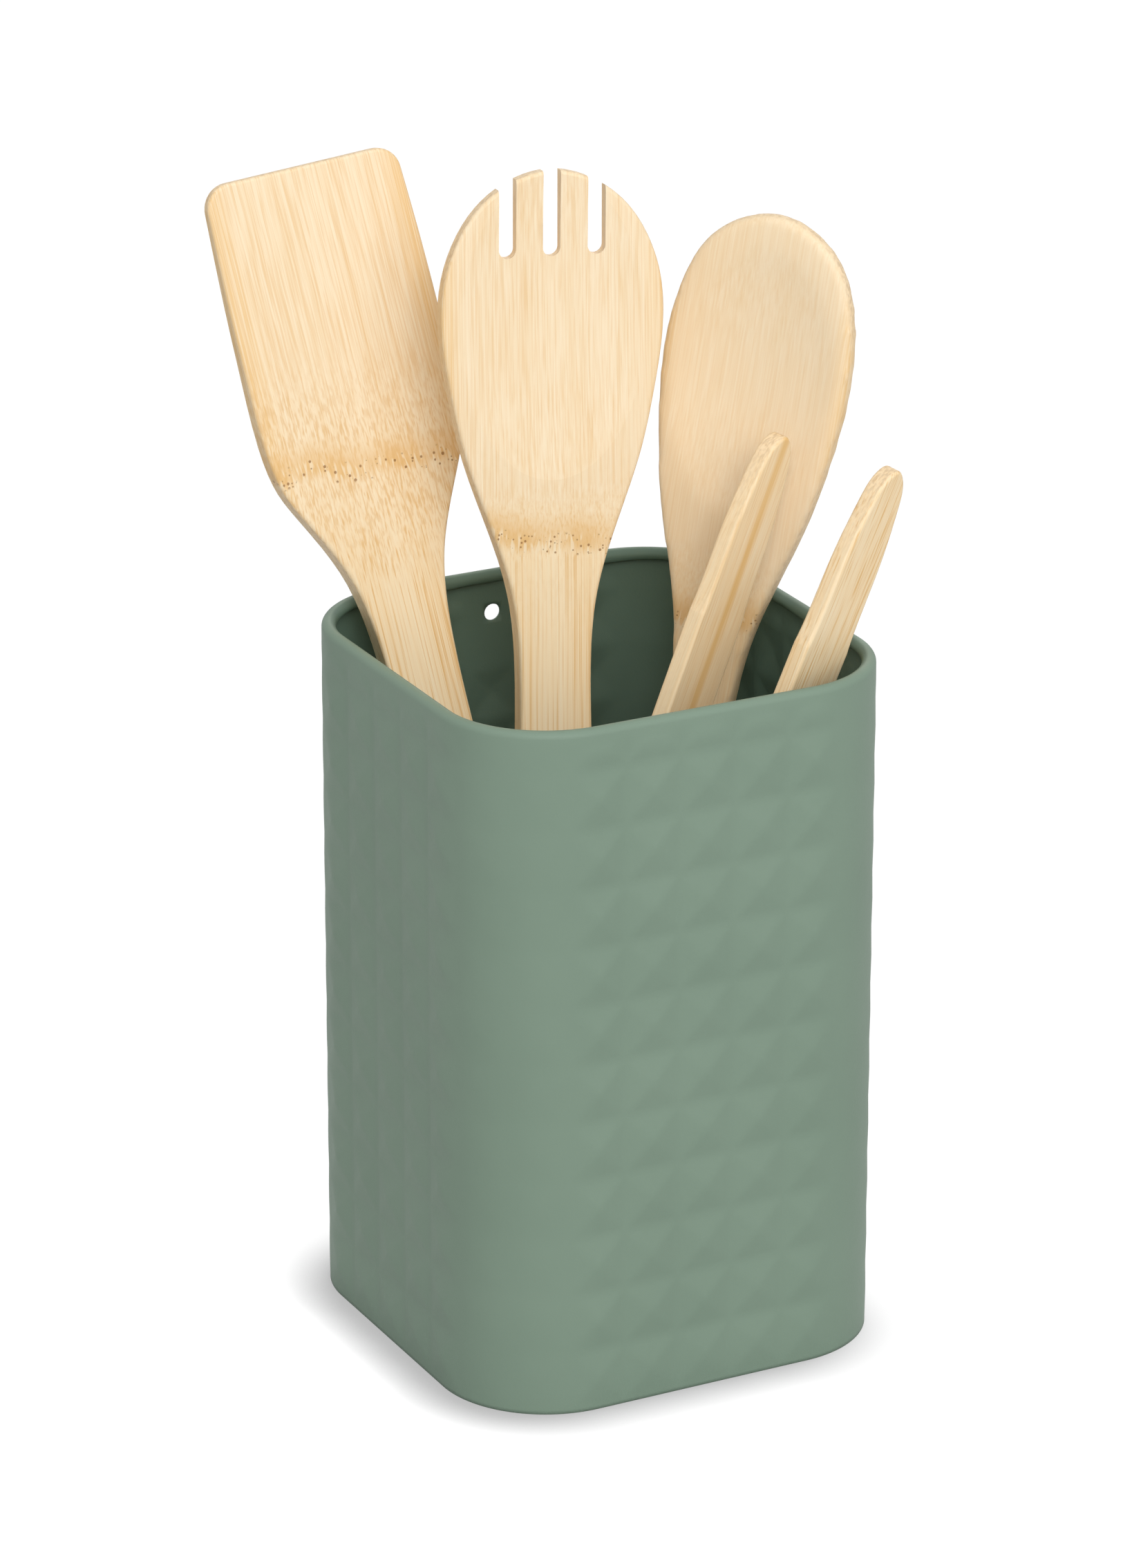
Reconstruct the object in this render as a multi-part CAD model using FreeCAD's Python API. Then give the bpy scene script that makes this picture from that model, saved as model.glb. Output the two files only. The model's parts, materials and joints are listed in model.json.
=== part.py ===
import FreeCAD
import Part
import math
import os

V = FreeCAD.Vector

# Square pressed-sheet utensil holder with a turner, a slotted spork, a spoon and a pair of tongs.
# Millimetres. Z is up, the origin is the centre of the foot on the table, the wide front wall faces -Y.

# Holder
side = 110.0
height = 170.0
corner_r = 27.0
sheet = 0.6
curl_r = 1.7
curl_turn = 235.0
pan_flange = 7.0
pan_bend = 1.0
seat_gap = 0.3
foot_band = 1.0
overrun = 5.0

# Pressed pyramid pattern
row_count = 11
row_pitch = 14.45
columns_per_quarter = 7
press_depth = 0.85
edge_column_share = 0.5
top_row_share = 0.45

# Hanging hole in the back wall
hang_hole_d = 4.2
hang_hole_drop = 11.5

# Blades and handles of the three long utensils, and where each stands
edge_round = 0.9
end_round = 3.0

turner_length = 279.3
turner_width = 51.4
turner_t = 6.5
turner_tip_t = 2.2
turner_corner_r = 6.0
turner_slant = 3.0
turner_foot_x = -3.6
turner_foot_y = 3.7
turner_lean = 15.0
turner_heading = 126.2
turner_spin = -1.1

spork_length = 277.1
spork_width = 53.6
spork_t = 6.5
spork_tip_t = 3.0
spork_foot_x = -12.3
spork_foot_y = -3.9
spork_lean = 6.4
spork_heading = 66.6
spork_spin = -11.1
slot_width = 4.2
slot_pitch = 10.7
slot_count = 3
slot_bottom_share = 0.927

spoon_length = 264.0
spoon_width = 47.0
spoon_t = 7.0
spoon_tip_t = 4.5
spoon_foot_x = 9.9
spoon_foot_y = 12.9
spoon_lean = 9.7
spoon_heading = -3.0
spoon_spin = -50.3

# Bowls: depth, place along the length, and reach, as shares of the utensil
spork_bowl_depth = 1.6
spork_bowl_mid_share = 0.867
spork_bowl_half_share = 0.13
spork_bowl_width_share = 0.84
spoon_bowl_depth = 2.8
spoon_bowl_mid_share = 0.847
spoon_bowl_half_share = 0.122
spoon_bowl_width_share = 0.86

# Outlines: place along the length, and half width, as shares of the length and of half the head width
turner_shares = [
    (0.0, 0.366), (0.25, 0.352), (0.5, 0.343), (0.578, 0.355), (0.617, 0.39), (0.656, 0.478), (0.717, 0.778),
    (0.743, 0.908), (0.776, 0.98), (0.831, 1.0), (0.92, 0.988), (1.0, 0.955),
]
spork_shares = [
    (0.0, 0.353), (0.25, 0.338), (0.5, 0.328), (0.58, 0.325), (0.629, 0.37), (0.662, 0.45), (0.759, 0.795),
    (0.81, 0.915), (0.874, 1.0), (0.909, 0.971), (0.942, 0.857), (0.971, 0.655), (0.991, 0.372),
]
spoon_shares = [
    (0.0, 0.388), (0.25, 0.365), (0.488, 0.344), (0.552, 0.341), (0.613, 0.417), (0.66, 0.557), (0.728, 0.788),
    (0.8, 0.942), (0.865, 1.0), (0.926, 0.912), (0.964, 0.732), (0.985, 0.492),
]
neck_share = 0.6

# Tongs: two flat arms glued to a spacer block at the closed end, the front one set further up
tongs_length = 225.2
tongs_arm_width = 16.5
tongs_arm_t = 4.5
tongs_arm_round = 0.8
tongs_foot_half_gap = 9.0
tongs_tip_half_gap = 14.3
tongs_block_length = 30.0
tongs_glue_gap = 0.2
tongs_front_step = 4.0
tongs_foot_x = -39.5
tongs_foot_y = -22.2
tongs_lean = 22.75
tongs_heading = -0.8
tongs_spin = 21.1
tongs_tip_shares = [(0.8, 1.0), (0.9, 0.87), (0.96, 0.66), (0.992, 0.34)]

half = side / 2
flat_half = half - corner_r
curl_z = height - curl_r
curl_end = math.radians(curl_turn)
pattern_top = curl_z - curl_r
column_pitch = (2 * flat_half + math.pi / 2 * corner_r) / columns_per_quarter
base_top = sheet
up = V(0, 0, 1)


def quarter_turns(shape):
    """The shape and its three copies turned round the upright axis."""
    copies = []
    for turn in range(4):
        copy = shape.copy()
        copy.rotate(V(0, 0, 0), up, 90 * turn)
        copies.append(copy)
    return copies


def polygon_face(points):
    return Part.Face(Part.makePolygon(points + points[:1]))


def section_face(lower, upper):
    """Section of the sheet wall, seen along Y on the +X side, with foot band and curl as asked."""
    outer = half
    inner = half - sheet
    start = 0 if lower else pattern_top
    points = [V(outer, 0, start)]
    edges = []
    if upper:
        mid = V(outer - curl_r, 0, curl_z)
        inside_r = curl_r - sheet
        tip_out = mid + V(curl_r * math.cos(curl_end), 0, curl_r * math.sin(curl_end))
        tip_in = mid + V(inside_r * math.cos(curl_end), 0, inside_r * math.sin(curl_end))
        edges.append(Part.makeLine(points[0], V(outer, 0, curl_z)))
        edges.append(Part.Arc(V(outer, 0, curl_z), mid + V(0, 0, curl_r), tip_out).toShape())
        edges.append(Part.makeLine(tip_out, tip_in))
        edges.append(Part.Arc(tip_in, mid + V(0, 0, inside_r), V(inner, 0, curl_z)).toShape())
        top = V(inner, 0, curl_z)
    else:
        edges.append(Part.makeLine(points[0], V(outer, 0, foot_band)))
        edges.append(Part.makeLine(V(outer, 0, foot_band), V(inner, 0, foot_band)))
        top = V(inner, 0, foot_band)
    rest = [top, V(inner, 0, start), points[0]]
    for first, second in zip(rest, rest[1:]):
        edges.append(Part.makeLine(first, second))
    return Part.Face(Part.Wire(edges))


def pressed_panel(plain_cells):
    """Flat part of the +X wall: square pyramids pressed outwards, the same hollow inside."""
    full = 1.5 * column_pitch
    lines = [-flat_half, -full, -column_pitch / 2, column_pitch / 2, full, flat_half]
    levels = [foot_band + row_pitch * row for row in range(row_count + 1)] + [pattern_top]
    faces = []
    for depth in (0.0, sheet):
        for col, (left, right) in enumerate(zip(lines, lines[1:])):
            for row, (low, high) in enumerate(zip(levels, levels[1:])):
                rise = press_depth
                rise *= edge_column_share if col in (0, len(lines) - 2) else 1.0
                rise *= top_row_share if row == row_count else 1.0
                plane = half - depth
                corners = [V(plane, left, low), V(plane, right, low), V(plane, right, high), V(plane, left, high)]
                if (col, row) in plain_cells:
                    faces.append(polygon_face(corners))
                    continue
                apex = V(plane + rise, (left + right) / 2, (low + high) / 2)
                for first, second in zip(corners, corners[1:] + corners[:1]):
                    faces.append(polygon_face([first, second, apex]))
    border = [(a, levels[0], b, levels[0]) for a, b in zip(lines, lines[1:])]
    border += [(a, levels[-1], b, levels[-1]) for a, b in zip(lines, lines[1:])]
    border += [(lines[0], a, lines[0], b) for a, b in zip(levels, levels[1:])]
    border += [(lines[-1], a, lines[-1], b) for a, b in zip(levels, levels[1:])]
    inner = half - sheet
    for ya, za, yb, zb in border:
        faces.append(polygon_face([V(half, ya, za), V(half, yb, zb), V(inner, yb, zb), V(inner, ya, za)]))
    shell = Part.makeShell(faces)
    shell.sewShape()
    solid = Part.makeSolid(shell)
    if solid.Volume < 0:
        solid.reverse()
    return solid


def make_crock_wall():
    corner = section_face(True, True)
    corner.translate(V(0, flat_half, 0))
    corner = corner.revolve(V(flat_half, flat_half, 0), up, 90)
    run = V(0, 2 * flat_half, 0)
    bands = []
    for face in (section_face(True, False), section_face(False, True)):
        face.translate(V(0, -flat_half, 0))
        bands.append(face.extrude(run))
    pieces = quarter_turns(corner)
    for band in bands:
        pieces += quarter_turns(band)
    plain = pressed_panel([])
    holed = pressed_panel([(2, row_count - 1), (2, row_count)])
    for turn in range(4):
        panel = (holed if turn == 1 else plain).copy()
        panel.rotate(V(0, 0, 0), up, 90 * turn)
        pieces.append(panel)
    wall = pieces[0].multiFuse(pieces[1:])
    hole_z = height - hang_hole_drop
    hole = Part.makeCylinder(hang_hole_d / 2, corner_r, V(0, half - corner_r / 2, hole_z), V(0, 1, 0))
    return wall.cut(hole)


def rounded_block(inset, radius, low, high):
    block = Part.makeBox(2 * inset, 2 * inset, high - low, V(-inset, -inset, low))
    uprights = [e for e in block.Edges if abs(e.Vertexes[0].Z - e.Vertexes[1].Z) > sheet / 2]
    return block.makeFillet(radius, uprights)


def make_base_plate():
    """Bottom pan pressed into the foot of the wall, with a flange turned up all round."""
    inset = half - sheet - seat_gap
    radius = corner_r - sheet - seat_gap
    pan = rounded_block(inset, radius, 0, pan_flange)
    under = [e for e in pan.Edges if e.BoundBox.ZMax < sheet / 2]
    pan = pan.makeFillet(pan_bend, under)
    return pan.cut(rounded_block(inset - sheet, radius - sheet, sheet, pan_flange + overrun))


def spline(points):
    curve = Part.BSplineCurve()
    curve.interpolate(points)
    return curve.toShape()


def plan_solid(shares, length, width, thick, pointed, slant):
    """Outline in the XZ plane, thickness along Y, edges rounded; foot at Z = 0, face towards -Y."""
    right = [V(share * width / 2, -thick / 2, place * length) for place, share in shares]
    left = [V(-p.x, p.y, p.z) for p in reversed(right)]
    if pointed:
        edges = [spline(right + [V(0, -thick / 2, length)] + left)]
    else:
        left[0].z += slant
        edges = [spline(right), Part.makeLine(right[-1], left[0]), spline(left)]
    edges.append(Part.makeLine(left[-1], right[0]))
    solid = Part.Face(Part.Wire(edges)).extrude(V(0, thick, 0))
    foot_edges = []
    top_edges = []
    for edge in solid.Edges:
        ends = edge.Vertexes
        if len(ends) < 2 or abs(ends[0].Y - ends[1].Y) < thick / 2:
            continue
        (foot_edges if ends[0].Z < length / 2 else top_edges).append(edge)
    solid = solid.makeFillet(end_round, foot_edges)
    if not pointed:
        top_edges = [e for e in solid.Edges if len(e.Vertexes) == 2 and e.Vertexes[0].Z > length / 2
                     and abs(e.Vertexes[0].Y - e.Vertexes[1].Y) > thick / 2]
        solid = solid.makeFillet(turner_corner_r, top_edges)
    rims = []
    for edge in solid.Edges:
        box = edge.BoundBox
        if box.YLength < edge_round / 2:
            rims.append(edge)
    return solid.makeFillet(edge_round, rims)


def thinned(solid, length, width, thick, tip_t):
    """Planes the back of the head down to the tip thickness."""
    back = thick / 2
    tip = tip_t - thick / 2
    wedge = polygon_face([
        V(-width, back, neck_share * length), V(-width, tip, length + overrun),
        V(-width, back + overrun, length + overrun), V(-width, back + overrun, neck_share * length),
    ]).extrude(V(2 * width, 0, 0))
    return solid.cut(wedge)


def hollowed(solid, length, width, thick, depth, mid_share, half_share, width_share):
    """Cuts a long shallow bowl into the face: a barrel turned round an axis in front of it."""
    half_width = width_share * width / 2
    reach = half_share * length
    mid = mid_share * length
    away = (half_width * half_width - depth * depth) / (2 * depth)
    axis_y = -thick / 2 - away
    low = V(0, axis_y + away, mid - reach)
    deep = V(0, axis_y + away + depth, mid)
    high = V(0, axis_y + away, mid + reach)
    edges = [Part.Arc(low, deep, high).toShape(), Part.makeLine(high, V(0, axis_y, high.z)),
             Part.makeLine(V(0, axis_y, high.z), V(0, axis_y, low.z)), Part.makeLine(V(0, axis_y, low.z), low)]
    barrel = Part.Face(Part.Wire(edges)).revolve(V(0, axis_y, 0), up, 360)
    return solid.cut(barrel)


def slotted(solid, length, thick):
    """Saws the slots that part the tines, each with a round bottom."""
    bottom = slot_bottom_share * length + slot_width / 2
    for step in range(slot_count):
        x = (step - (slot_count - 1) / 2) * slot_pitch
        saw = Part.makeBox(slot_width, 2 * thick, length, V(x - slot_width / 2, -thick, bottom))
        end = Part.makeCylinder(slot_width / 2, 2 * thick, V(x, -thick, bottom), V(0, 1, 0))
        solid = solid.cut(saw.fuse(end))
    return solid


def stood(shapes, foot, lean, heading, spin):
    """Leans the shapes towards the heading and lets their lowest point down to the base plate."""
    turn = FreeCAD.Rotation(up, heading)
    turn = turn.multiply(FreeCAD.Rotation(V(0, 1, 0), lean))
    turn = turn.multiply(FreeCAD.Rotation(up, spin - heading))
    axis = turn.multVec(up)
    placed = []
    for shape in shapes:
        copy = shape.copy()
        copy.Placement = FreeCAD.Placement(foot, turn).multiply(copy.Placement)
        placed.append(copy)
    lowest = min(shape.optimalBoundingBox().ZMin for shape in placed)
    lift = axis * ((base_top + seat_gap - lowest) / axis.z)
    for shape in placed:
        shape.translate(lift)
    return placed


def tongs_arm(toward, step):
    """One flat arm: straight foot, rounded tapering tip, inner face on the YZ line of its gap."""
    half_w = tongs_arm_width / 2
    right = [V(share * half_w, 0, place * tongs_length) for place, share in tongs_tip_shares]
    left = [V(-p.x, 0, p.z) for p in reversed(right)]
    tip = spline(right + [V(0, 0, tongs_length)] + left)
    edges = [Part.makeLine(V(half_w, 0, 0), right[0]), tip, Part.makeLine(left[-1], V(-half_w, 0, 0)),
             Part.makeLine(V(-half_w, 0, 0), V(half_w, 0, 0))]
    arm = Part.Face(Part.Wire(edges)).extrude(V(0, toward * tongs_arm_t, 0))
    rims = [e for e in arm.Edges if e.BoundBox.YLength < tongs_arm_round / 2]
    arm = arm.makeFillet(tongs_arm_round, rims)
    slope = math.degrees(math.atan2(tongs_tip_half_gap - tongs_foot_half_gap, tongs_length))
    arm.rotate(V(0, 0, 0), V(1, 0, 0), -toward * slope)
    arm.translate(V(0, toward * tongs_foot_half_gap, step))
    return arm


def tongs_block():
    grow = (tongs_tip_half_gap - tongs_foot_half_gap) / tongs_length
    low = tongs_foot_half_gap - tongs_glue_gap
    high = low + grow * tongs_block_length
    half_w = tongs_arm_width / 2
    face = polygon_face([V(-half_w, -low, 0), V(-half_w, low, 0), V(-half_w, high, tongs_block_length),
                         V(-half_w, -high, tongs_block_length)])
    return face.extrude(V(tongs_arm_width, 0, 0))


def make_turner():
    solid = plan_solid(turner_shares, turner_length, turner_width, turner_t, False, turner_slant)
    solid = thinned(solid, turner_length, turner_width, turner_t, turner_tip_t)
    foot = V(turner_foot_x, turner_foot_y, base_top)
    return stood([solid], foot, turner_lean, turner_heading, turner_spin)[0]


def make_spork():
    solid = plan_solid(spork_shares, spork_length, spork_width, spork_t, True, 0)
    solid = thinned(solid, spork_length, spork_width, spork_t, spork_tip_t)
    solid = hollowed(solid, spork_length, spork_width, spork_t, spork_bowl_depth, spork_bowl_mid_share,
                     spork_bowl_half_share, spork_bowl_width_share)
    solid = slotted(solid, spork_length, spork_t)
    foot = V(spork_foot_x, spork_foot_y, base_top)
    return stood([solid], foot, spork_lean, spork_heading, spork_spin)[0]


def make_spoon():
    solid = plan_solid(spoon_shares, spoon_length, spoon_width, spoon_t, True, 0)
    solid = thinned(solid, spoon_length, spoon_width, spoon_t, spoon_tip_t)
    solid = hollowed(solid, spoon_length, spoon_width, spoon_t, spoon_bowl_depth, spoon_bowl_mid_share,
                     spoon_bowl_half_share, spoon_bowl_width_share)
    foot = V(spoon_foot_x, spoon_foot_y, base_top)
    return stood([solid], foot, spoon_lean, spoon_heading, spoon_spin)[0]


def make_tongs():
    pieces = [tongs_arm(-1, tongs_front_step), tongs_arm(1, 0), tongs_block()]
    foot = V(tongs_foot_x, tongs_foot_y, base_top)
    return stood(pieces, foot, tongs_lean, tongs_heading, tongs_spin)


os.makedirs("parts", exist_ok=True)
front_arm, back_arm, block = make_tongs()
nodes = {
    "crock_wall": make_crock_wall(),
    "base_plate": make_base_plate(),
    "turner": make_turner(),
    "spork": make_spork(),
    "spoon": make_spoon(),
    "tongs_front_arm": front_arm,
    "tongs_back_arm": back_arm,
    "tongs_block": block,
}
for name, shape in nodes.items():
    solids = shape.Solids
    single = solids[0] if len(solids) == 1 else shape
    single.exportStep("parts/" + name + ".step")
    box = single.BoundBox
    print(name, "solids", len(solids), "valid", single.isValid(), "volume", round(single.Volume, 1),
          "box", [round(x, 1) for x in (box.XMin, box.XMax, box.YMin, box.YMax, box.ZMin, box.ZMax)])
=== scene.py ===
import json
import math

import bmesh
import bpy
from mathutils import Matrix, Vector


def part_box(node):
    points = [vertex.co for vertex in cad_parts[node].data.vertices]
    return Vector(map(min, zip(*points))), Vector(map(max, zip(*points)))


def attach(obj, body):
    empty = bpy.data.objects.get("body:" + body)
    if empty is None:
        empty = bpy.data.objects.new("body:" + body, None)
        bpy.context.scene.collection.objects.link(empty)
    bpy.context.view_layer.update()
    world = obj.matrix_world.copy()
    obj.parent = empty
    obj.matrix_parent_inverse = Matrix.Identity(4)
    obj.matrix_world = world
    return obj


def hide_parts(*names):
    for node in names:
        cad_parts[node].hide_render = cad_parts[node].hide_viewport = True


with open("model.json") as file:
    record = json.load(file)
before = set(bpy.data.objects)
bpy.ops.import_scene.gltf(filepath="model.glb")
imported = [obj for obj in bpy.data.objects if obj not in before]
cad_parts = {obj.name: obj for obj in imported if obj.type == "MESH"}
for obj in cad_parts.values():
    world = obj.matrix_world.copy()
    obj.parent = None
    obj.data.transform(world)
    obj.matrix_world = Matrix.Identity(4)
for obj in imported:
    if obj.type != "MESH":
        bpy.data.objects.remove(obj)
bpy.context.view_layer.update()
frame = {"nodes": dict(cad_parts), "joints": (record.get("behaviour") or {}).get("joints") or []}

# Holder wall: one sheet of thin steel formed into a square tube with wide round corners.
# Rows of square pyramids are pressed outwards from inside, and the top edge is curled inwards.
# A grey-green powder coat covers it inside and out, matt and very slightly grainy.
MM = 0.001
quarter_turn = math.pi / 2
press_depth = 0.85 * MM
valley_depth = 0.3 * MM
wall_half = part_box("crock_wall")[1][0] - press_depth
wall_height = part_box("crock_wall")[1][2]
corner_radius = 27 * MM
sheet = 0.6 * MM
curl_radius = 1.7 * MM
curl_turn = math.radians(235)
curl_steps = 16
foot_band = 1.0 * MM
row_pitch = 14.45 * MM
row_count = 11
cell_steps = 10
flat_columns = 4
corner_columns = 3
flat_half = wall_half - corner_radius
column_pitch = 2 * flat_half / flat_columns
pattern_top = wall_height - 2 * curl_radius


def wall_profile(bm):
    """One upright line of the sheet on the +X side, from the foot over the curl to its tip."""
    step = row_pitch / cell_steps
    longest_step = 1.4 * step
    heights = [0, foot_band]
    while heights[-1] + longest_step < pattern_top:
        heights.append(heights[-1] + step)
    heights.append(pattern_top)
    points = [(wall_half, z) for z in heights]
    centre_x = wall_half - curl_radius
    centre_z = wall_height - curl_radius
    for count in range(curl_steps + 1):
        angle = curl_turn * count / curl_steps
        points.append((centre_x + curl_radius * math.cos(angle), centre_z + curl_radius * math.sin(angle)))
    verts = [bm.verts.new((x, -flat_half, z)) for x, z in points]
    return [bm.edges.new(pair) for pair in zip(verts, verts[1:])]


def around_the_square(bm, edges):
    """Carries the line along the four flat sides and round the four corners."""
    flat_steps = flat_columns * cell_steps
    corner_steps = corner_columns * cell_steps
    verts = [v for e in edges for v in e.verts]
    geom = list(dict.fromkeys(verts + edges))
    for turn in range(4):
        facing = Matrix.Rotation(quarter_turn * turn, 3, "Z")
        run = facing @ Vector((0, 2 * flat_half / flat_steps, 0))
        corner = facing @ Vector((flat_half, flat_half, 0))
        made = bmesh.ops.spin(bm, geom=geom, cent=(0, 0, 0), axis=(0, 0, 1), dvec=run, angle=0,
                              steps=flat_steps, use_merge=False)
        made = bmesh.ops.spin(bm, geom=made["geom_last"], cent=corner, axis=(0, 0, 1), dvec=(0, 0, 0),
                              angle=quarter_turn, steps=corner_steps, use_merge=False)
        geom = made["geom_last"]
    bmesh.ops.remove_doubles(bm, verts=bm.verts, dist=sheet / 10)
    bmesh.ops.recalc_face_normals(bm, faces=bm.faces)


def around_place(x, y):
    """Columns from the middle of the nearest side, the outward direction and the turn into a corner."""
    turn = round(math.atan2(y, x) / quarter_turn)
    local = Matrix.Rotation(-turn * quarter_turn, 2) @ Vector((x, y))
    along = abs(local.y)
    outward = Vector((1, 0))
    bend = 0.0
    if along > flat_half:
        bend = math.atan2(along - flat_half, local.x - flat_half)
        along = flat_half + bend / quarter_turn * corner_columns * column_pitch
        outward = Vector((math.cos(bend), math.copysign(math.sin(bend), local.y)))
    outward = Matrix.Rotation(turn * quarter_turn, 2) @ outward
    return along / column_pitch, outward, bend


def press_pyramids(bm):
    """Presses a square pyramid into each cell, with slight valleys between, fading round the corners.

    Returns how far each vertex lies from the middle of its cell, across and upwards.
    """
    corner_share = 0.12
    fade_angle = math.radians(22)
    fade_power = 1.5
    foot_room = row_pitch / 2
    curl_room = row_pitch / 4
    off_middle = {}
    for vert in bm.verts:
        column, outward, bend = around_place(vert.co.x, vert.co.y)
        row = (vert.co.z - foot_band) / row_pitch
        across = abs(column - round(column)) * 2
        upward = abs(row - math.floor(row) - 0.5) * 2
        off_middle[vert] = (across, upward)
        by_the_hole = vert.co.y > flat_half and abs(vert.co.x) < row_pitch / 2 and row > row_count - 1
        if vert.co.z < foot_band or vert.co.z > pattern_top or by_the_hole:
            continue
        fade = corner_share + (1 - corner_share) * max(0.0, 1 - bend / fade_angle) ** fade_power
        above_pan = min(1.0, max(0.0, (vert.co.z - foot_room) / foot_room))
        below_curl = min(1.0, max(0.0, (pattern_top - vert.co.z) / curl_room))
        valley = valley_depth * above_pan
        rise = below_curl * fade * ((press_depth + valley) * (1 - max(across, upward)) - valley)
        vert.co.x += outward.x * rise
        vert.co.y += outward.y * rise
    return off_middle


def crease_pyramids(bm, off_middle):
    """Splits the faces that a pyramid's ridges cross, and keeps the creases of the press crisp."""
    ridge_slack = 0.05
    crisp_angle = math.radians(4.5)
    crossed = []
    for face in bm.faces:
        if len(face.verts) == 4:
            on_ridge = [abs(off_middle[v][0] - off_middle[v][1]) < ridge_slack for v in face.verts]
            if on_ridge in ([True, False, True, False], [False, True, False, True]):
                crossed.append((face, [v for v, on in zip(face.verts, on_ridge) if on]))
    for face, ends in crossed:
        bmesh.utils.face_split(face, ends[0], ends[1])
    for edge in bm.edges:
        below_curl = max(v.co.z for v in edge.verts) < pattern_top
        if len(edge.link_faces) == 2 and below_curl and edge.calc_face_angle() > crisp_angle:
            edge.smooth = False


def punch_hanging_hole(bm):
    """Opens a small patch of the back wall and joins its edge to a round hole."""
    hole_radius = 2.1 * MM
    hole_drop = 11.5 * MM
    hole_steps = 48
    patch_half = 1.4 * hole_radius
    middle = Vector((0, wall_half, wall_height - hole_drop))
    faces = []
    for face in bm.faces:
        off = face.calc_center_median() - middle
        if abs(off.y) < press_depth and abs(off.x) < patch_half and abs(off.z) < patch_half:
            faces.append(face)
    rim = [e for f in faces for e in f.edges if sum(g in faces for g in e.link_faces) == 1]
    bmesh.ops.delete(bm, geom=faces, context="FACES")
    facing = Matrix.Translation(middle) @ Matrix.Rotation(quarter_turn, 4, "X")
    ring = bmesh.ops.create_circle(bm, segments=hole_steps, radius=hole_radius, matrix=facing)
    ring_edges = list({e for v in ring["verts"] for e in v.link_edges})
    bmesh.ops.bridge_loops(bm, edges=list(set(rim)) + ring_edges)
    bmesh.ops.recalc_face_normals(bm, faces=bm.faces)


def ripple_curl(bm):
    """The inner edge of the curl runs a little unevenly round the rim."""
    ripple_height = 0.14 * MM
    long_waves = 9
    long_wave_start = 0.7
    short_waves = 23
    short_wave_share = 0.6
    least_inset = 1.2 * curl_radius
    lowest = pattern_top - curl_radius
    highest = wall_height - curl_radius
    for vert in bm.verts:
        inset = wall_half - max(abs(vert.co.x), abs(vert.co.y))
        if lowest < vert.co.z < highest and inset > least_inset:
            around = math.atan2(vert.co.y, vert.co.x)
            long_wave = math.sin(long_waves * around + long_wave_start)
            short_wave = short_wave_share * math.sin(short_waves * around)
            vert.co.z += ripple_height * (long_wave + short_wave)


def finished_mesh(name, bm, smooth=True):
    """The bmesh as an object at the origin."""
    mesh = bpy.data.meshes.new(name)
    bm.to_mesh(mesh)
    bm.free()
    for polygon in mesh.polygons:
        polygon.use_smooth = smooth
    piece = bpy.data.objects.new(name, mesh)
    bpy.context.scene.collection.objects.link(piece)
    return piece


def add_node(tree, kind, **settings):
    """A new node of a tree, with its settings."""
    node = tree.nodes.new(kind)
    for name, value in settings.items():
        setattr(node, name, value)
    return node


def feed(tree, node, socket, value):
    """Joins a socket to another node's output, or sets its own value."""
    entry = node.inputs[socket]
    if isinstance(value, bpy.types.NodeSocket):
        tree.links.new(value, entry)
    else:
        entry.default_value = value


def maths(tree, operation, first, second=0.0):
    """The result of a sum, product or other operation on two values."""
    node = add_node(tree, "ShaderNodeMath", operation=operation)
    feed(tree, node, 0, first)
    feed(tree, node, 1, second)
    return node.outputs[0]


def ranged(tree, value, low, high, to_low=0.0, to_high=1.0, smooth=False):
    """A value carried from one range to another, and held at its ends."""
    node = add_node(tree, "ShaderNodeMapRange", interpolation_type="SMOOTHSTEP" if smooth else "LINEAR")
    for name, number in (("Value", value), ("From Min", low), ("From Max", high), ("To Min", to_low),
                         ("To Max", to_high)):
        feed(tree, node, name, number)
    return node.outputs["Result"]


def blended(tree, amount, first, second):
    """A colour between two others."""
    node = add_node(tree, "ShaderNodeMix", data_type="RGBA")
    feed(tree, node, "Factor", amount)
    feed(tree, node, 6, first)
    feed(tree, node, 7, second)
    return node.outputs[2]


def stretched(tree, place, scales):
    """A place with each of its three directions scaled by itself."""
    node = add_node(tree, "ShaderNodeVectorMath", operation="MULTIPLY")
    feed(tree, node, 0, place)
    feed(tree, node, 1, scales)
    return node.outputs["Vector"]


def noise(tree, place, scales, detail):
    """Soft noise, with its scales in grains to the metre along the three directions of the place."""
    node = add_node(tree, "ShaderNodeTexNoise")
    feed(tree, node, "Vector", stretched(tree, place, scales))
    feed(tree, node, "Scale", 1.0)
    feed(tree, node, "Detail", detail)
    return node.outputs["Fac"]


def add_bump(tree, shader, height, strength):
    """Lets a height roughen the shader's surface by a share of the relief."""
    relief = 0.2 * MM
    bump = add_node(tree, "ShaderNodeBump")
    feed(tree, bump, "Strength", strength)
    feed(tree, bump, "Distance", relief)
    feed(tree, bump, "Height", height)
    feed(tree, shader, "Normal", bump.outputs["Normal"])


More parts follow.
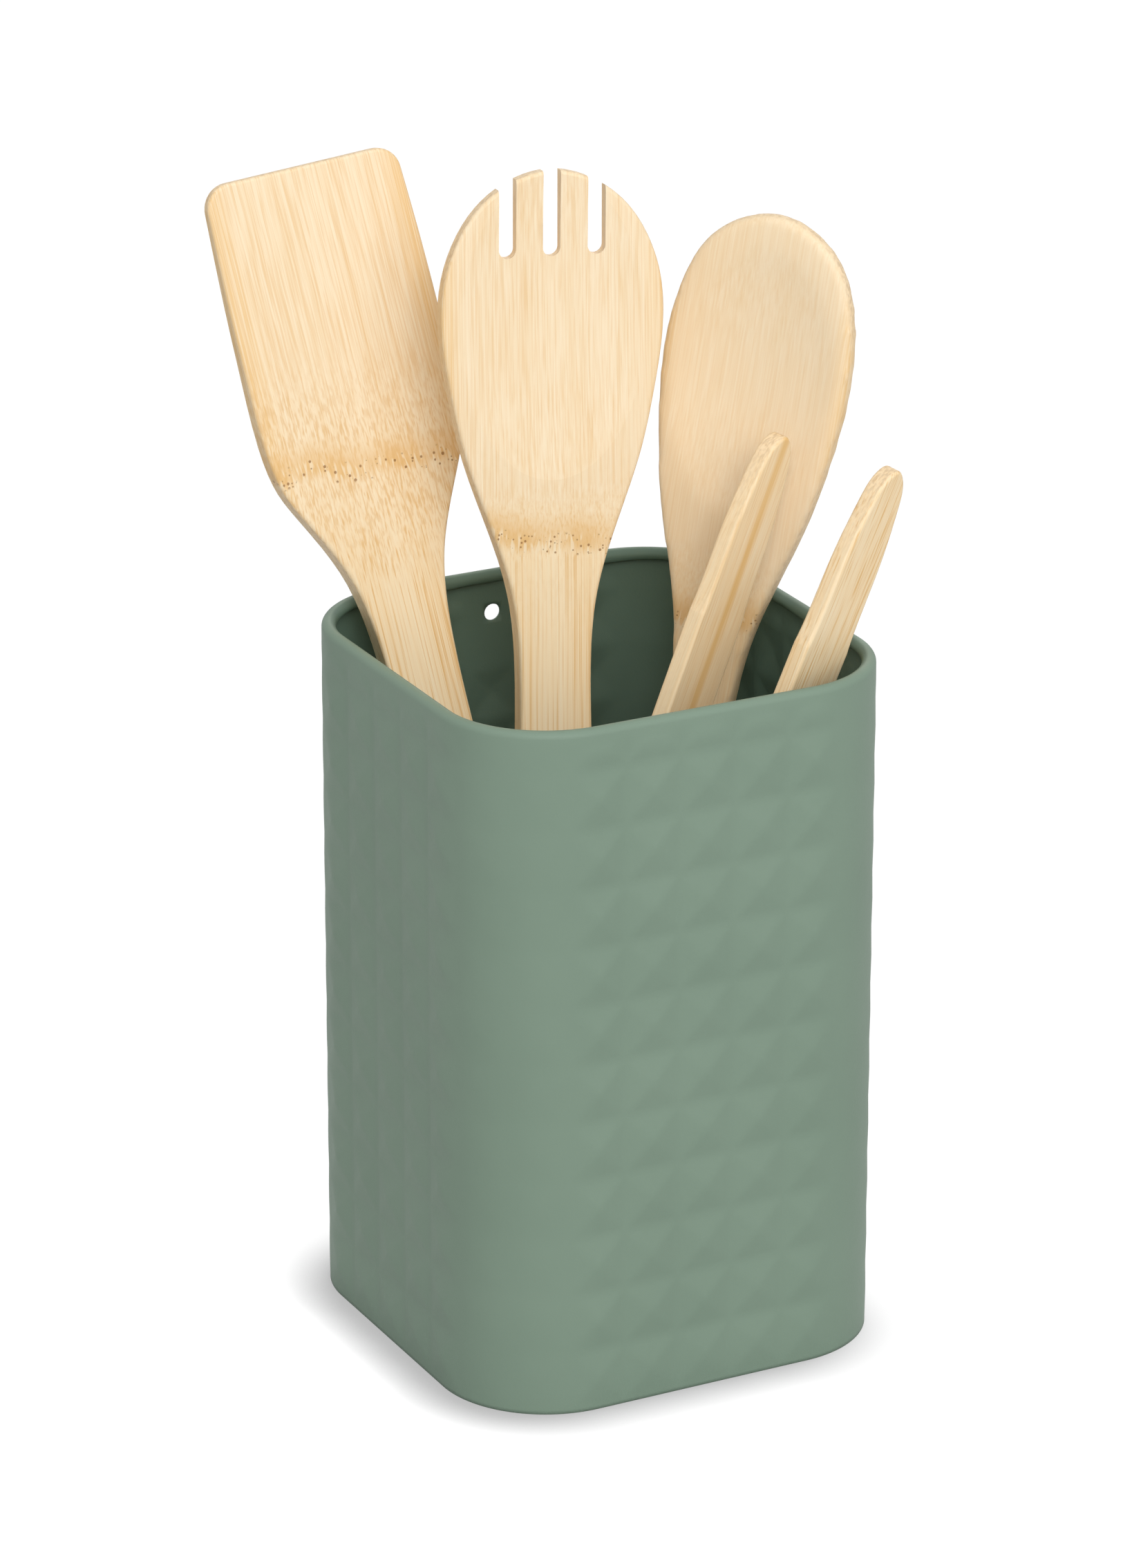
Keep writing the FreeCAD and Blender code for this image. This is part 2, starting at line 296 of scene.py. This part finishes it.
def coat_material():
    """Matt grey-green powder coat: even colour, painted darker inside as shade of the deep interior, a fine
    grain in the bump, a soft sheen.
    """
    grey_green = (0.194, 0.273, 0.208, 1)
    light_green = (0.208, 0.290, 0.222, 1)
    inside_shade_green = (0.118, 0.186, 0.140, 1)
    material = bpy.data.materials.new("green_coat")
    material.use_nodes = True
    tree = material.node_tree
    shader = tree.nodes["Principled BSDF"]
    feed(tree, shader, "Specular IOR Level", 0.35)
    coords = add_node(tree, "ShaderNodeTexCoord")
    mapping = add_node(tree, "ShaderNodeMapping")
    feed(tree, mapping, "Vector", coords.outputs["Object"])
    place = mapping.outputs["Vector"]
    grain = noise(tree, place, (1800, 1800, 1800), 2.0)
    cloud = noise(tree, place, (25, 25, 25), 2.0)
    tint = blended(tree, ranged(tree, cloud, 0.3, 0.7), grey_green, light_green)
    # Painted shade: faces turned into the holder get a darker green that stands for the dim inside.
    outwards = add_node(tree, "ShaderNodeVectorMath", operation="DOT_PRODUCT")
    feed(tree, outwards, 0, coords.outputs["Normal"])
    feed(tree, outwards, 1, stretched(tree, place, (1 / wall_half, 1 / wall_half, 0)))
    inside = ranged(tree, outwards.outputs["Value"], -0.1, -0.6, smooth=True)
    feed(tree, shader, "Base Color", blended(tree, inside, tint, inside_shade_green))
    feed(tree, shader, "Roughness", ranged(tree, grain, 0.0, 1.0, 0.5, 0.62))
    add_bump(tree, shader, grain, 0.12)
    return material


green_coat = coat_material()
wall_mesh = bmesh.new()
around_the_square(wall_mesh, wall_profile(wall_mesh))
crease_pyramids(wall_mesh, press_pyramids(wall_mesh))
punch_hanging_hole(wall_mesh)
ripple_curl(wall_mesh)
wall = finished_mesh("holder_wall", wall_mesh)
thickness = wall.modifiers.new("sheet", "SOLIDIFY")
thickness.thickness = sheet
thickness.offset = -1
thickness.use_even_offset = True
wall.data.materials.append(green_coat)
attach(wall, "holder")
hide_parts("crock_wall")

# Bottom pan: a pressed sheet pan with its flange turned up inside the foot of the wall.
# It carries the same coat and is seen only from above and below.


def dress(node_name, material):
    """Gives a solid of the frame its material."""
    piece = frame["nodes"][node_name]
    piece.data.materials.clear()
    piece.data.materials.append(material)


dress("base_plate", green_coat)

# Turner: one strip of bamboo, sawn to a handle and a broad square-ended blade, planed thin to the tip.
# The fibres run along it: orange streaks on the handle, fine lines on the planed blade, and short dashes
# around the band of dark dots where the bamboo stem had its joint.


def times(tree, first, second):
    """The product of two values."""
    return maths(tree, "MULTIPLY", first, second)


def bamboo_group():
    """Colour, roughness and height of bamboo at a place given across, through and along the strip."""
    tree = bpy.data.node_groups.new("bamboo_fibres", "ShaderNodeTree")
    tree.interface.new_socket("Place", in_out="INPUT", socket_type="NodeSocketVector")
    for name in ("Stem Joint", "Joint Tilt", "Pore Scale", "Head From", "Head To", "Streaks", "Dashes",
                 "Edge From", "Core", "Side"):
        tree.interface.new_socket(name, in_out="INPUT", socket_type="NodeSocketFloat")
    tree.interface.new_socket("Color", in_out="OUTPUT", socket_type="NodeSocketColor")
    for name in ("Roughness", "Height"):
        tree.interface.new_socket(name, in_out="OUTPUT", socket_type="NodeSocketFloat")
    given = add_node(tree, "NodeGroupInput").outputs
    out = add_node(tree, "NodeGroupOutput")
    strip = given["Place"]
    parts = add_node(tree, "ShaderNodeSeparateXYZ")
    feed(tree, parts, 0, strip)
    x, y, z = parts.outputs

    # Fibres wander a little, and where the head was planed at a slant they end one behind another.
    wander_reach = 0.8 * MM
    plane_slant = 4 * MM
    head = ranged(tree, z, given["Head From"], given["Head To"], smooth=True)
    wander = ranged(tree, noise(tree, strip, (50, 50, 8), 1.0), 0.0, 1.0, -wander_reach, wander_reach)
    fibre_x = maths(tree, "ADD", x, wander)
    fibres = add_node(tree, "ShaderNodeCombineXYZ")
    feed(tree, fibres, 0, fibre_x)
    feed(tree, fibres, 1, maths(tree, "ADD", y, times(tree, head, plane_slant)))
    feed(tree, fibres, 2, z)
    place = fibres.outputs[0]
    broad = noise(tree, place, (110, 110, 6), 2.0)
    fine = noise(tree, place, (2600, 2600, 18), 2.0)
    bundle = noise(tree, place, (2300, 2300, 22), 2.0)

    # Pale wood in broad and fine stripes, with orange fibre bundles and paler wood between them.
    tone = maths(tree, "ADD", times(tree, broad, 0.5), times(tree, fine, 0.5))
    deep = ranged(tree, tone, 0.36, 0.64)
    handle_tone = blended(tree, deep, (0.970, 0.785, 0.520, 1), (0.930, 0.695, 0.405, 1))
    head_tone = blended(tree, deep, (0.940, 0.765, 0.530, 1), (0.890, 0.680, 0.420, 1))
    colour = blended(tree, head, handle_tone, head_tone)
    bundle_orange = (0.800, 0.495, 0.200, 1)
    bundle_pale = (0.960, 0.810, 0.580, 1)
    streak = times(tree, ranged(tree, bundle, 0.53, 0.66), ranged(tree, head, 0.0, 1.0, 0.75, 0.3))
    colour = blended(tree, times(tree, streak, given["Streaks"]), colour, bundle_orange)
    colour = blended(tree, ranged(tree, bundle, 0.46, 0.34, 0.0, 0.4), colour, bundle_pale)

    # A planed head shows the cut fibres as fine dark and pale lines.
    cut_dark = (0.800, 0.520, 0.240, 1)
    cut_pale = (0.970, 0.830, 0.610, 1)
    cut = noise(tree, place, (2600, 500, 70), 1.0)
    planed = times(tree, head, given["Streaks"])
    for low, high, tint in ((0.52, 0.66, cut_dark), (0.46, 0.34, cut_pale)):
        colour = blended(tree, times(tree, ranged(tree, cut, low, high, 0.0, 0.36), planed), colour, tint)

    # The edges of a head are painted a darker orange as painted shade, where the real blade curves away; the
    # heart of a strip is more orange.
    edge_shade_width = 6 * MM
    edge_shade_orange = (0.840, 0.540, 0.220, 1)
    heart_orange = (0.800, 0.480, 0.150, 1)
    past_edge = maths(tree, "SUBTRACT", maths(tree, "ABSOLUTE", x), given["Edge From"])
    # Painted shade: a band along each edge of a head darkens to orange, with a little fine noise.
    rim = times(tree, ranged(tree, past_edge, 0.0, edge_shade_width, smooth=True),
                ranged(tree, fine, 0.35, 0.65, 0.2, 0.8))
    colour = blended(tree, rim, colour, edge_shade_orange)
    off_heart = maths(tree, "ABSOLUTE", fibre_x)
    heart = times(tree, ranged(tree, off_heart, 0.3 * MM, 2 * MM, 1.0, 0.0, smooth=True),
                  ranged(tree, broad, 0.35, 0.6, 0.3, 1.0))
    colour = blended(tree, times(tree, heart, given["Core"]), colour, heart_orange)

    # Around the stem joint the fibres turn inwards and show as short dashes.
    wobble_reach = 3 * MM
    dash_dark = (0.770, 0.485, 0.210, 1)
    dash_pale = (0.960, 0.800, 0.560, 1)
    wobble = ranged(tree, noise(tree, strip, (80, 80, 10), 1.0), 0.0, 1.0, -wobble_reach, wobble_reach)
    joint_line = maths(tree, "ADD", given["Stem Joint"], times(tree, x, given["Joint Tilt"]))
    off_joint = maths(tree, "SUBTRACT", maths(tree, "ADD", z, wobble), joint_line)
    joint_gap = maths(tree, "ABSOLUTE", off_joint)
    near = times(tree, ranged(tree, joint_gap, 8 * MM, 34 * MM, 1.0, 0.0, smooth=True), given["Dashes"])
    dash = noise(tree, place, (1900, 800, 400), 1.0)
    for low, high, tint in ((0.51, 0.62, dash_dark), (0.47, 0.36, dash_pale)):
        colour = blended(tree, times(tree, ranged(tree, dash, low, high, 0.0, 0.5), near), colour, tint)

    # The joint itself: a brown haze above it, a row of dark pores, and pale dashes between them.
    haze_brown = (0.800, 0.490, 0.185, 1)
    sliver_pale = (0.970, 0.830, 0.600, 1)
    pore_brown = (0.330, 0.155, 0.050, 1)
    haze = times(tree, ranged(tree, off_joint, -3 * MM, 0.5 * MM, smooth=True),
                 ranged(tree, off_joint, 1 * MM, 9 * MM, 1.0, 0.0, smooth=True))
    haze = times(tree, haze, ranged(tree, broad, 0.35, 0.65, 0.4, 0.82))
    colour = blended(tree, haze, colour, haze_brown)
    band = ranged(tree, joint_gap, 1.2 * MM, 3.4 * MM, 1.0, 0.0, smooth=True)
    sliver = noise(tree, strip, (1200, 300, 230), 0.0)
    slivers = times(tree, ranged(tree, sliver, 0.56, 0.64, 0.0, 0.6), band)
    colour = blended(tree, slivers, colour, sliver_pale)
    cells = add_node(tree, "ShaderNodeTexVoronoi")
    feed(tree, cells, "Vector", stretched(tree, strip, (760, 300, 700)))
    feed(tree, cells, "Scale", given["Pore Scale"])
    chosen = add_node(tree, "ShaderNodeSeparateColor")
    feed(tree, chosen, 0, cells.outputs["Color"])
    pore_size = ranged(tree, chosen.outputs[0], 0.15, 1.0, 0.0, 0.42)
    pore = ranged(tree, maths(tree, "SUBTRACT", pore_size, cells.outputs["Distance"]), 0.0, 0.12)
    pores = times(tree, pore, ranged(tree, band, 0.2, 0.6))
    colour = blended(tree, times(tree, pores, 0.85), colour, pore_brown)

    # Sides sawn across the fibres are a little browner, with the fibre ends as specks.
    side_pale = (0.920, 0.720, 0.470, 1)
    side_brown = (0.700, 0.510, 0.310, 1)
    specks = noise(tree, strip, (900, 1500, 700), 1.0)
    side_tone = blended(tree, ranged(tree, specks, 0.42, 0.62), side_pale, side_brown)
    colour = blended(tree, times(tree, given["Side"], 0.7), colour, side_tone)
    feed(tree, out, "Color", colour)
    feed(tree, out, "Roughness", ranged(tree, fine, 0.3, 0.8, 0.48, 0.64))
    feed(tree, out, "Height", maths(tree, "SUBTRACT", fine, times(tree, pores, 0.8)))
    return tree


bamboo_fibres = bamboo_group()


def strip_turn(axis, spin):
    """Turn of a utensil whose length lies along the axis, as a matrix of across, through and along."""
    axis = Vector(axis).normalized()
    heading = math.atan2(axis.y, axis.x)
    lean = math.acos(axis.z)
    return (Matrix.Rotation(heading, 3, "Z") @ Matrix.Rotation(lean, 3, "Y")
            @ Matrix.Rotation(math.radians(spin) - heading, 3, "Z"))


def bamboo_material(name, turn, foot, joint=-50, tilt=0.0, pores=1.0, head=(400, 500), streaks=1.0,
                    dashes=0.0, edge=100, core=0.0):
    """Bamboo with its fibres along the third column of the turn.

    Lengths are millimetres from the foot. A joint, head or edge that isn't given lies off the strip.
    """
    material = bpy.data.materials.new(name)
    material.use_nodes = True
    tree = material.node_tree
    shader = tree.nodes["Principled BSDF"]
    feed(tree, shader, "Specular IOR Level", 0.3)
    coords = add_node(tree, "ShaderNodeTexCoord")
    mapping = add_node(tree, "ShaderNodeMapping")
    feed(tree, mapping, "Vector", coords.outputs["Object"])
    feed(tree, mapping, "Rotation", turn.transposed().to_euler())
    feed(tree, mapping, "Location", -(turn.transposed() @ (Vector(foot) * MM)))
    wood = add_node(tree, "ShaderNodeGroup", node_tree=bamboo_fibres)
    feed(tree, wood, "Place", mapping.outputs["Vector"])
    for socket, value in (("Stem Joint", joint * MM), ("Joint Tilt", tilt), ("Pore Scale", pores),
                          ("Head From", head[0] * MM), ("Head To", head[1] * MM), ("Streaks", streaks),
                          ("Dashes", dashes), ("Edge From", edge * MM), ("Core", core)):
        feed(tree, wood, socket, value)
    facing = []
    for way in (1, 2):
        share = add_node(tree, "ShaderNodeVectorMath", operation="DOT_PRODUCT")
        feed(tree, share, 0, coords.outputs["Normal"])
        feed(tree, share, 1, turn.col[way])
        facing.append(maths(tree, "ABSOLUTE", share.outputs["Value"]))
    on_side = ranged(tree, facing[0], 0.3, 0.7, 1.0, 0.0)
    cut_across = ranged(tree, facing[1], 0.05, 0.35, 0.15, 1.0)
    feed(tree, wood, "Side", times(tree, on_side, cut_across))
    feed(tree, shader, "Base Color", wood.outputs["Color"])
    feed(tree, shader, "Roughness", wood.outputs["Roughness"])
    add_bump(tree, shader, wood.outputs["Height"], 0.15)
    return material


joint_axes = {joint["name"]: joint["axis"] for joint in frame["joints"]}
turner_foot = (-3.6, 3.7, 0.6)
turner_turn = strip_turn(joint_axes["turner_lift"], spin=-1.1)
turner_bamboo = bamboo_material("bamboo_turner", turner_turn, turner_foot, joint=210, tilt=-0.175, pores=1.2,
                                head=(175, 235), streaks=1.2, dashes=1.0, edge=18)
dress("turner", turner_bamboo)

# Spork: one strip of bamboo with a shallow bowl and three sawn slots that part the tines.
# It is the palest of the set, with the stem joint just above the handle.
spork_foot = (-12.3, -3.9, 0.6)
spork_turn = strip_turn(joint_axes["spork_lift"], spin=-11.1)
spork_bamboo = bamboo_material("bamboo_spork", spork_turn, spork_foot, joint=190, tilt=-0.11, pores=1.45,
                               head=(185, 205), streaks=0.9, dashes=0.2, edge=21)
dress("spork", spork_bamboo)

# Spoon: one strip of bamboo carved to an oval bowl and sanded until no edge is left sharp.
# Its stem joint is low on the neck, close to the holder's rim.


def merged_copy(node_name):
    """A solid of the frame as a bmesh, with its loose triangles joined up."""
    join_distance = 0.01 * MM
    copy = bmesh.new()
    copy.from_mesh(frame["nodes"][node_name].data)
    bmesh.ops.remove_doubles(copy, verts=copy.verts, dist=join_distance)
    return copy


def softened_copy(node_name, name, voxel, rounds):
    """A copy of a solid with its edges sanded soft: evenly remeshed, then smoothed."""
    piece = finished_mesh(name, merged_copy(node_name))
    even = piece.modifiers.new("even", "REMESH")
    even.mode = "VOXEL"
    even.voxel_size = voxel
    evaluated = piece.evaluated_get(bpy.context.evaluated_depsgraph_get())
    sanded = bmesh.new()
    sanded.from_mesh(evaluated.to_mesh())
    evaluated.to_mesh_clear()
    piece.modifiers.remove(even)
    for count in range(rounds):
        bmesh.ops.smooth_vert(sanded, verts=sanded.verts, factor=0.5, use_axis_x=True, use_axis_y=True,
                              use_axis_z=True)
    sanded.to_mesh(piece.data)
    sanded.free()
    for polygon in piece.data.polygons:
        polygon.use_smooth = True
    return piece


spoon_foot = (9.9, 12.9, 0.6)
spoon_turn = strip_turn(joint_axes["spoon_lift"], spin=-50.3)
spoon_bamboo = bamboo_material("bamboo_spoon", spoon_turn, spoon_foot, joint=166, tilt=0.12, pores=1.7,
                               head=(165, 185), streaks=0.35, dashes=0.1, edge=18)
spoon = softened_copy("spoon", "spoon_carved", voxel=0.9 * MM, rounds=14)
spoon.data.materials.append(spoon_bamboo)
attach(spoon, "spoon_body")
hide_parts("spoon")

# Tongs: two flat bamboo arms glued to a wedge-shaped block at the closed end, sanded round at the tips.
# The block stands on the bottom pan; the arms bend above it when the tips are squeezed.


def eased_copy(node_name, name, width):
    """A copy of a flat-sided solid with its sharp edges broken by sanding."""
    copy = merged_copy(node_name)
    bmesh.ops.dissolve_limit(copy, angle_limit=math.radians(1), verts=copy.verts, edges=copy.edges)
    bmesh.ops.bevel(copy, geom=copy.edges[:], offset=width, segments=2, profile=0.5, affect="EDGES",
                    material=-1)
    return finished_mesh(name, copy, smooth=False)


hinges = [joint for joint in frame["joints"] if joint["type"] == "hinge"]
hinge_places = {hinge["name"]: Vector(hinge["pos_m"]) for hinge in hinges}
arm_step = (hinge_places["back_arm_squeeze"] - hinge_places["front_arm_squeeze"]).normalized()
tongs_across = Vector(joint_axes["back_arm_squeeze"]).normalized()
tongs_along = tongs_across.cross(arm_step).normalized()
tongs_turn = Matrix((tongs_across, tongs_along.cross(tongs_across), tongs_along)).transposed()
tongs_foot = (-39.5, -22.2, 0.6)
block_foot = (-26.5, -31.2, 7.6)
block = eased_copy("tongs_block", "tongs_block_eased", width=0.4 * MM)
block.data.materials.append(bamboo_material("bamboo_block", tongs_turn, block_foot, streaks=0.7))
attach(block, "tongs_root")
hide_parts("tongs_block")
dress("tongs_front_arm", bamboo_material("bamboo_front_arm", tongs_turn, tongs_foot, streaks=1.15))
dress("tongs_back_arm", bamboo_material("bamboo_back_arm", tongs_turn, tongs_foot, streaks=0.5, core=0.7))

# Floor and light: a white studio sweep with a soft shadow close to the holder's foot, and a white sky
# that is brightest near the horizon. A broad lamp stands in front on the left, a weaker one in front,
# a third behind on the right brings out the back wall, and a small one overhead reaches the bottom pan.


def seen_rays(tree):
    """1 for rays that the camera, gloss or glass sends out, and 0 for those that light the object."""
    rays = add_node(tree, "ShaderNodeLightPath").outputs
    seen = maths(tree, "MAXIMUM", rays["Is Camera Ray"], rays["Is Glossy Ray"])
    return maths(tree, "MAXIMUM", seen, rays["Is Transmission Ray"])


def floor_material():
    """Matt white for the light on the object; near white, with a shadow at the foot, where it is seen."""
    shadow_reach = 11.5 * MM
    shadow_way = (0.66, 0.34, 0.66)
    material = bpy.data.materials.new("white_floor")
    material.use_nodes = True
    tree = material.node_tree
    tree.nodes.remove(tree.nodes["Principled BSDF"])
    matt_white = add_node(tree, "ShaderNodeBsdfDiffuse")
    feed(tree, matt_white, "Color", (0.5, 0.5, 0.5, 1))
    faint_white = add_node(tree, "ShaderNodeBsdfDiffuse")
    feed(tree, faint_white, "Color", (0.08, 0.08, 0.08, 1))
    contact = add_node(tree, "ShaderNodeAmbientOcclusion", samples=16)
    feed(tree, contact, "Distance", shadow_reach)
    shade_side = add_node(tree, "ShaderNodeCombineXYZ")
    for axis, share in enumerate(shadow_way):
        feed(tree, shade_side, axis, share)
    feed(tree, contact, "Normal", shade_side.outputs["Vector"])
    glow = add_node(tree, "ShaderNodeEmission")
    feed(tree, glow, "Strength", ranged(tree, contact.outputs["AO"], 0.4, 1.0, 0.45, 0.97))
    white_sweep = add_node(tree, "ShaderNodeAddShader")
    feed(tree, white_sweep, 0, faint_white.outputs["BSDF"])
    feed(tree, white_sweep, 1, glow.outputs["Emission"])
    both = add_node(tree, "ShaderNodeMixShader")
    feed(tree, both, "Fac", seen_rays(tree))
    feed(tree, both, 1, matt_white.outputs["BSDF"])
    feed(tree, both, 2, white_sweep.outputs["Shader"])
    feed(tree, tree.nodes["Material Output"], "Surface", both.outputs["Shader"])
    return material


floor_size = 6
floor_mesh = bmesh.new()
bmesh.ops.create_grid(floor_mesh, x_segments=1, y_segments=1, size=floor_size)
floor = finished_mesh("floor", floor_mesh, smooth=False)
floor.data.materials.append(floor_material())

horizon_light = 0.80
zenith_light = 0.24
world = bpy.data.worlds.new("studio")
bpy.context.scene.world = world
world.use_nodes = True
sky_tree = world.node_tree
sky = sky_tree.nodes["Background"]
sky_way = add_node(sky_tree, "ShaderNodeTexCoord")
sky_parts = add_node(sky_tree, "ShaderNodeSeparateXYZ")
feed(sky_tree, sky_parts, 0, sky_way.outputs["Generated"])
sky_light = ranged(sky_tree, sky_parts.outputs[2], 0.1, 0.8, horizon_light, zenith_light, smooth=True)
feed(sky_tree, sky, "Strength", maths(sky_tree, "MAXIMUM", sky_light, seen_rays(sky_tree)))
feed(sky_tree, sky, "Color", (1, 1, 1, 1))


def soft_lamp(name, place, target, size, power):
    """A round area lamp that faces the target."""
    data = bpy.data.lights.new(name, "AREA")
    data.shape = "DISK"
    data.size = size
    data.energy = power
    lamp = bpy.data.objects.new(name, data)
    lamp.location = place
    lamp.rotation_euler = (Vector(target) - Vector(place)).to_track_quat("-Z", "Y").to_euler()
    bpy.context.scene.collection.objects.link(lamp)


soft_lamp("key_lamp", place=(-0.60, -1.63, 1.36), target=(0, 0, 0.16), size=1.2, power=19.8)
soft_lamp("fill_lamp", place=(0.15, -2.05, 1.15), target=(0, 0, 0.14), size=1.4, power=9.5)
soft_lamp("back_lamp", place=(1.10, 1.65, 1.05), target=(0, 0, 0.14), size=1.2, power=4)
soft_lamp("top_lamp", place=(0.02, 0.02, 2.0), target=(0, 0, 0), size=0.5, power=5)

# Camera: the photograph's place, well above the rim and to the left of the front wall, with a long lens.
# It looks a little above the holder's middle, so that the set stands in the frame as it does there.
photo_height = 2268
focal_pixels = 9546.7
camera_distance = 1571.4 * MM
aim_height = 84.86 * MM
stand_turn = math.radians(-27.59)
stand_rise = math.radians(22.81)
look_turn = stand_turn + math.radians(0.326)
look_rise = math.radians(21.179)


def backwards(turn, rise):
    """The direction from the holder back to the camera."""
    return Vector((math.sin(turn) * math.cos(rise), -math.cos(turn) * math.cos(rise), math.sin(rise)))


camera_data = bpy.data.cameras.new("camera")
camera_data.sensor_width = 36
camera_data.sensor_fit = "AUTO"
camera_data.lens = focal_pixels * camera_data.sensor_width / photo_height
camera = bpy.data.objects.new("camera", camera_data)
camera.location = Vector((0, 0, aim_height)) + camera_distance * backwards(stand_turn, stand_rise)
camera.rotation_euler = backwards(look_turn, look_rise).to_track_quat("Z", "Y").to_euler()
bpy.context.scene.collection.objects.link(camera)
bpy.context.scene.camera = camera

bpy.context.scene.view_settings.view_transform = "Standard"
